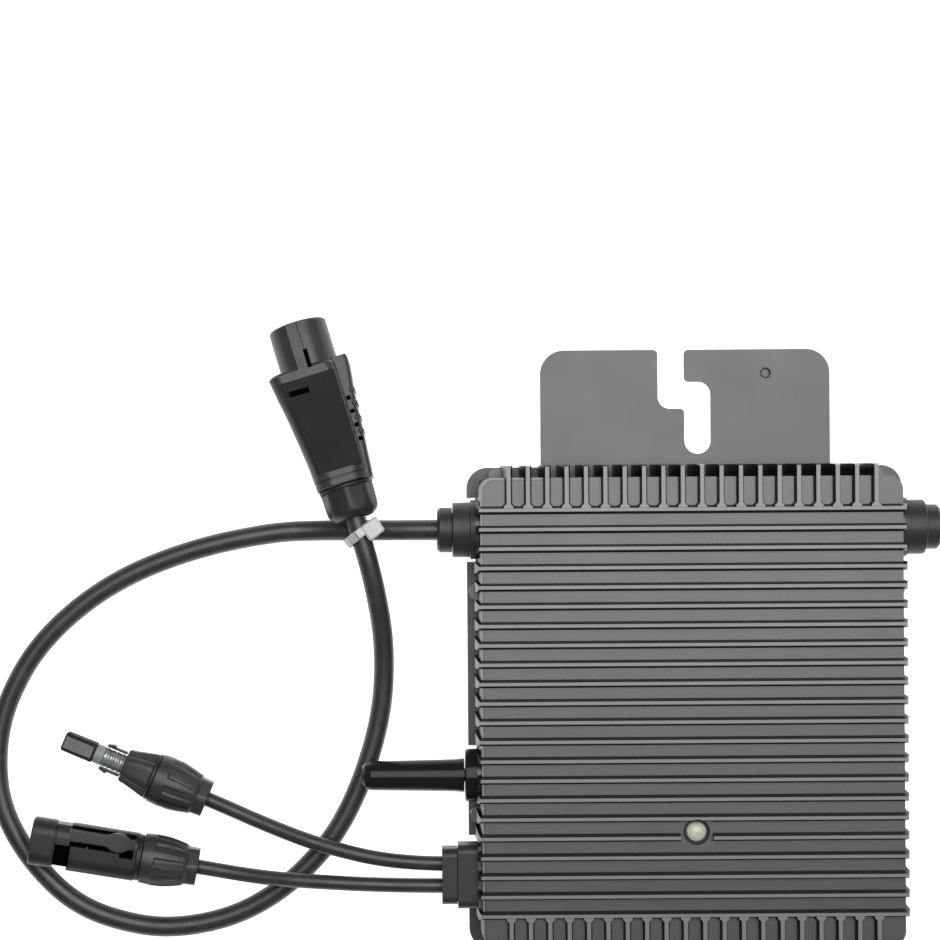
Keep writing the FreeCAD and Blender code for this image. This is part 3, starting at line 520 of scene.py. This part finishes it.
def make_ac_nut():
    """A cap nut with eight flats and a corner on top."""
    outline = [(0.5, 8.8), (1.2, 9.8), (2.4, 11.4), (4.5, 12.4), (14.6, 12.7)]
    flat_reach, flats_back, flats_front = 11.9, 3.2, 14.2

    def reach(z):
        base = between(z, outline)
        if not flats_back < z < flats_front:
            return base
        return lambda angle: min(base, flat_reach / math.cos(off_flat(angle, 8, math.pi / 8)))
    profile = [(z, reach(z)) for z in (0.5, 1.2, 2.4, 3, 4, 7, 11, 14, 14.6)]
    profile += [(14.65, 12.2), (15, 13), (16, 13), (16, 10), (8, 10), (8, 5.3), (0.5, 5.3)]
    return turned(profile, 96, closed=True)


ac_shell = piece("ac_plug_shell", make_ac_shell(), AC_PLACE, moulding_lit, 0.0003,
                 replaced="ac_connector_shell")
ac_panel = piece("ac_plug_panel", make_ac_panel(), AC_PLACE, moulding_dull, 0.0001)
ac_bars = piece("ac_plug_ridges", make_ac_bars(), AC_PLACE, moulding, 0.0001)
# Painted shade in the plug's openings.
ac_floors = piece("ac_plug_shade_floors", make_ac_floors(), AC_PLACE, painted_shade_black, 0)
ac_nut = piece("ac_plug_nut", make_ac_nut(), AC_PLACE, moulding, 0.0002, body="ac_connector_nut",
               replaced="ac_connector_nut")


# Panel connectors

PLUS_PLACE = aimed((-231.2, -41.6, 11.75), (-298.1, -13.1, 14.4))
MINUS_PLACE = aimed((-236, -74.2, 12.25), (-313.5, -60.1, 18.6))
NUT_OUTLINE = [(-1, 9.1), (4.4, 9.4), (5.4, 10), (9, 10.9), (13, 11.7), (16, 12.1), (20, 12.2), (25.7, 11.8)]
NUT_HEX_FRONT = 4.4
NUT_HEX_REACH = 8.6
NUT_RECESSES = 10
RECESS_HALF_WIDTH, RECESS_HALF_LENGTH, RECESS_MIDDLE, RECESS_DEPTH = 2.0, 7.2, 12.9, 0.9
LEAD_BORE = 3.2


def make_pv_nut(turn):
    """A cap nut with a six-sided end and long square-ended recesses round its waist."""
    def reach(z):
        base = between(z, NUT_OUTLINE)

        def radius(angle):
            if z < NUT_HEX_FRONT:
                return min(base, NUT_HEX_REACH / math.cos(off_flat(angle, 6)))
            aside = abs(off_flat(angle, NUT_RECESSES, turn)) * base
            inside = min(RECESS_HALF_WIDTH - aside, RECESS_HALF_LENGTH - abs(z - RECESS_MIDDLE))
            return base - RECESS_DEPTH * step_up(inside, 0.4)
        return radius
    stations = [-1, -0.6, 1, 3, 4.2, 4.6, 5] + [5.4 + 0.3 * i for i in range(52)] + [22, 24, 25.2, 25.5, 25.7]
    profile = [(z, reach(z)) for z in stations] + [(25.7, 8.6), (10, 8.6), (10, 3.95), (-1, 3.95)]
    return turned(profile, 240, closed=True)


def make_plus_body():
    """The collar and the two side wings that guard the latch arms."""
    collar = turned([(17, 8.2), (26, 8.2), (26, 11.1), (26.3, 11.4), (27.3, 11.4), (27.6, 10.9), (28, 9.6),
                     (28.4, 8)])
    wings = skin([ring(z, side, -side, -3.2, 3.2, 1.2, 4) for z, side in
                  ((27.2, 10.9), (30, 10.4), (33, 9.6), (38.3, 8.3), (41, 7.9), (41.8, 7.4))])
    body = merged(collar, [wings], "UNION")
    return merged(body, [rod(5.4, 16, 60)], "DIFFERENCE")


def make_plus_block():
    """The smooth middle block of the body."""
    block = skin([ring(z, side, -side, -top, top, 4.6, 10) for z, side, top in
                  ((27.2, 7.4, 8.6), (31, 7.1, 8.1), (38, 6.3, 7.1), (41.4, 5.8, 6.3), (42.1, 5.4, 5.9))])
    return merged(block, [rod(LEAD_BORE, 16, 60)], "DIFFERENCE")


def make_plus_nose():
    """The ribbed neck in front of the body."""
    ribs_back, ribs_front, pitch, depth = 42.4, 51.6, 2.5, 0.35
    profile = []
    for i in range(53):
        z = 41.6 + 0.2 * i
        wave = 0.5 + 0.5 * math.cos(2 * math.pi * (z - ribs_back) / pitch)
        dip = depth * wave if ribs_back < z < ribs_front else 0
        profile.append((z, 4.6 - dip))
    return turned(profile + [(52, 3.25), (41.6, 3.25)], 48, closed=True)


def make_plus_ring():
    profile = [(52.2, 4.2), (52.6, 4.6), (56.4, 4.6), (56.9, 4.2), (56.9, 3.25), (52.2, 3.25)]
    return turned(profile, 48, closed=True)


def make_plus_tip():
    """The square sleeve at the front."""
    tip = skin([ring(z, side, -side, -side, side, corner, 4) for z, side, corner in
                ((56.9, 4.3, 1.2), (57.2, 4.6, 1.1), (72, 4.5, 1.1), (72.7, 3.9, 1.2))])
    return merged(tip, [rod(LEAD_BORE, 50, 80)], "DIFFERENCE")


def make_plus_flat():
    """A pale strip on the top of the tip, a painted highlight."""
    return brick(2.9, -2.9, 3.8, 4.75, 57.9, 71.9, 0.2)


def make_minus_body():
    """The collar and the slotted oval sleeve, with a groove behind its front band."""
    collar = turned([(17, 8.2), (26, 8.2), (26, 10.7), (26.3, 11), (28.2, 11), (28.4, 10)])
    sleeve = skin([ring(z, 11.4 - inset, -11.4 + inset, -8.4 + inset, 8.4 - inset, 7.2, 8) for z, inset in
                   ((28, 0.5), (28.6, 0), (45, 0), (60, 0), (66.8, 0), (67.1, 0.4), (67.7, 0.4), (68, 0),
                    (78.2, 0), (79, 0.7))])
    body = merged(collar, [sleeve], "UNION")
    mouth = skin([ring(z, 9, -9, -6.1, 6.1, 5.6, 6) for z in (52, 80)])
    bore = rod(LEAD_BORE, 16, 60)
    tongue_gap = brick(-1.2, -10.6, 3.4, 9.5, 30, 60.5, 0.4)
    window = brick(13, -1.2, 1, 9.5, 59.6, 67.2, 0.5)
    pad_gap = brick(0.6, -2.6, 3.4, 9.5, 30, 36.5, 0.6)
    side_slots = [brick(13, 9.9, -9, 9, 60.6, 68, 0.3), brick(-10.4, -13, -9, 9, 60.6, 68, 0.3)]
    return merged(body, [mouth, bore, tongue_gap, window, pad_gap] + side_slots, "DIFFERENCE")


def make_minus_arm():
    """The springy tongue let into the sleeve, with its round-headed thumb pad."""
    return skin([ring(z, left, right, 4.6, top, 0.7, 4) for z, left, right, top in
                 ((29.4, -3.4, -8.8, 7), (32.6, -3.4, -8.9, 7.7), (34.2, -2.4, -9.9, 8),
                  (35.8, -1.6, -10.6, 8.2), (38, -1.4, -10.8, 8.3), (40.2, -1.7, -10.5, 8.2),
                  (41.8, -2.6, -9.8, 8.1), (43.4, -3.4, -9.2, 8.0), (52, -3.4, -9.2, 8.1),
                  (61.5, -3.2, -9.3, 7.9))])


def make_minus_floors():
    """Black sheets of painted shade under the tongue, the window and the thumb pad."""
    return joined([brick(-1.1, -10.7, 3.2, 4.2, 29.8, 60.6, 0.3), brick(9.8, -1.3, 0.4, 1.3, 59.5, 67.3, 0.3),
                   brick(0.7, -2.7, 3.2, 4.2, 29.8, 36.6, 0.3)])


plus_nut = piece("plus_cap_nut", make_pv_nut(0.14), PLUS_PLACE, moulding_lit, 0, body="pv_plus_nut",
                 replaced="pv_plus_nut")
minus_nut = piece("minus_cap_nut", make_pv_nut(0.37), MINUS_PLACE, moulding_lit, 0, body="pv_minus_nut",
                  replaced="pv_minus_nut")
plus_body = piece("plus_plug_body", make_plus_body(), PLUS_PLACE, moulding, 0.0002,
                  replaced="pv_plus_housing")
plus_block = piece("plus_plug_block", make_plus_block(), PLUS_PLACE, moulding_lit, 0.0003)
plus_nose = piece("plus_plug_nose", make_plus_nose(), PLUS_PLACE, nose_satin, 0)
plus_ring = piece("plus_plug_ring", make_plus_ring(), PLUS_PLACE, ring_rubber, 0.0001)
plus_tip = piece("plus_plug_tip", make_plus_tip(), PLUS_PLACE, moulding_dull, 0.0001)
plus_flat = piece("plus_plug_tip_highlight", make_plus_flat(), PLUS_PLACE, painted_tip_highlight, 0.0001)
minus_body = piece("minus_plug_body", make_minus_body(), MINUS_PLACE, moulding, 0.0002,
                   replaced="pv_minus_housing")
minus_arm = piece("minus_plug_arm", make_minus_arm(), MINUS_PLACE, moulding_lit, 0.0002)
# Painted shade under the tongue, the window and the thumb pad.
minus_floors = piece("minus_plug_shade_floors", make_minus_floors(), MINUS_PLACE, painted_shade_black, 0)


# Cable tie

TIE_CENTRE = (-154.8, 85.2, 16.6)
TIE_PLACE = (Matrix.Scale(MM, 4) @ Matrix.Translation(TIE_CENTRE) @ Matrix.Rotation(math.radians(37), 4, "Z")
             @ Matrix.Rotation(math.radians(90), 4, "X"))
TOOTH_PITCH, TOOTH_LENGTH, TOOTH_DEPTH = 1.3, 0.8, 0.95
STRAP_THICKNESS, STRAP_HALF_WIDTH, TOOTH_HALF_WIDTH, TOOTH_EDGE = 1.15, 2.25, 2.0, 0.15


def make_strap():
    """The band round both leads, with a groove after each tooth."""
    loop = [Vector(point) for point in ring(0, 9.5, -9.5, -13.3, 13.3, 7.5, 14)]
    across = Vector((0, 0, 1))
    rows = []
    travelled = 0.0
    for i, here in enumerate(loop):
        following = loop[(i + 1) % len(loop)]
        length = (following - here).length
        pieces = max(1, int(length / 0.3))
        for k in range(pieces):
            point = here.lerp(following, k / pieces)
            way = (following - (loop[i - 1] if k == 0 else here)).normalized()
            out = Vector((way.y, -way.x, 0))
            sunk = 0.0 if travelled % TOOTH_PITCH < TOOTH_LENGTH else TOOTH_DEPTH
            outer, inner = point - out * sunk, point - out * STRAP_THICKNESS
            edge = outer - out * TOOTH_EDGE
            rows.append([outer - across * TOOTH_HALF_WIDTH, outer + across * TOOTH_HALF_WIDTH,
                         edge + across * STRAP_HALF_WIDTH, inner + across * STRAP_HALF_WIDTH,
                         inner - across * STRAP_HALF_WIDTH, edge - across * STRAP_HALF_WIDTH])
            travelled += length / pieces
    return skin(rows, closed=True)


def make_tie():
    """The strap with its head and the cut end of its tail."""
    strap = make_strap()
    head = skin([ring(z, 9.5 - inset, 0.5 + inset, 10.4 + inset, 14.8 - inset, 1.4, 5)
                 for z, inset in ((-2, 0.6), (-1.4, 0), (5.4, 0), (6, 0.6))])
    tail = brick(1.0, -2.6, 13.4, 14.6, -1.9, 1.9, 0.3)
    return merged(head, [tail, strap], "UNION")


tie = piece("lead_tie", make_tie(), TIE_PLACE, tie_nylon, 0.0001, replaced="cable_tie")


# Studio

FLOOR_REACH, FLOOR_LEVEL = 3, -0.0003


def make_floor():
    """White paper under the part, lit a little from within as an overexposed backdrop is."""
    mesh = bpy.data.meshes.new("floor")
    corners = [(x * FLOOR_REACH, y * FLOOR_REACH, FLOOR_LEVEL)
               for x, y in ((-1, -1), (1, -1), (1, 1), (-1, 1))]
    mesh.from_pydata(corners, [], [(0, 1, 2, 3)])
    floor = bpy.data.objects.new("floor", mesh)
    bpy.context.scene.collection.objects.link(floor)
    paper = surface("paper", grey(0.86), grey(0.9), 0.9, specular=0.0, patch=0.4)
    shader = paper.node_tree.nodes["Principled BSDF"]
    shader.inputs["Emission Color"].default_value = (1, 1, 1, 1)
    shader.inputs["Emission Strength"].default_value = 0.75
    mesh.materials.append(paper)


def make_lights():
    """One large softbox overhead, above the top of the part, and a dim grey world."""
    light = bpy.data.lights.new("overhead", "AREA")
    light.shape = "RECTANGLE"
    light.size, light.size_y = 1.6, 1.35
    light.energy = 39
    softbox = bpy.data.objects.new("overhead", light)
    softbox.location = (0.12, 0.54, 1.58)
    bpy.context.scene.collection.objects.link(softbox)
    world = bpy.data.worlds.new("studio")
    world.use_nodes = True
    background = world.node_tree.nodes["Background"]
    background.inputs["Color"].default_value = (0.25, 0.25, 0.25, 1)
    background.inputs["Strength"].default_value = 1.0
    bpy.context.scene.world = world
    bpy.context.scene.view_settings.view_transform = "Standard"


def make_camera():
    """Looks straight down, framed as in the photograph."""
    lens = bpy.data.cameras.new("camera")
    lens.lens = 83.0
    lens.sensor_width = 36.0
    lens.shift_x = 0.0298
    lens.shift_y = 0.0798
    camera = bpy.data.objects.new("camera", lens)
    camera.location = (-0.117, 0.0788, 1.05)
    camera.rotation_euler = (0, 0, math.radians(-0.4))
    bpy.context.scene.collection.objects.link(camera)
    bpy.context.scene.camera = camera


make_floor()
make_lights()
make_camera()
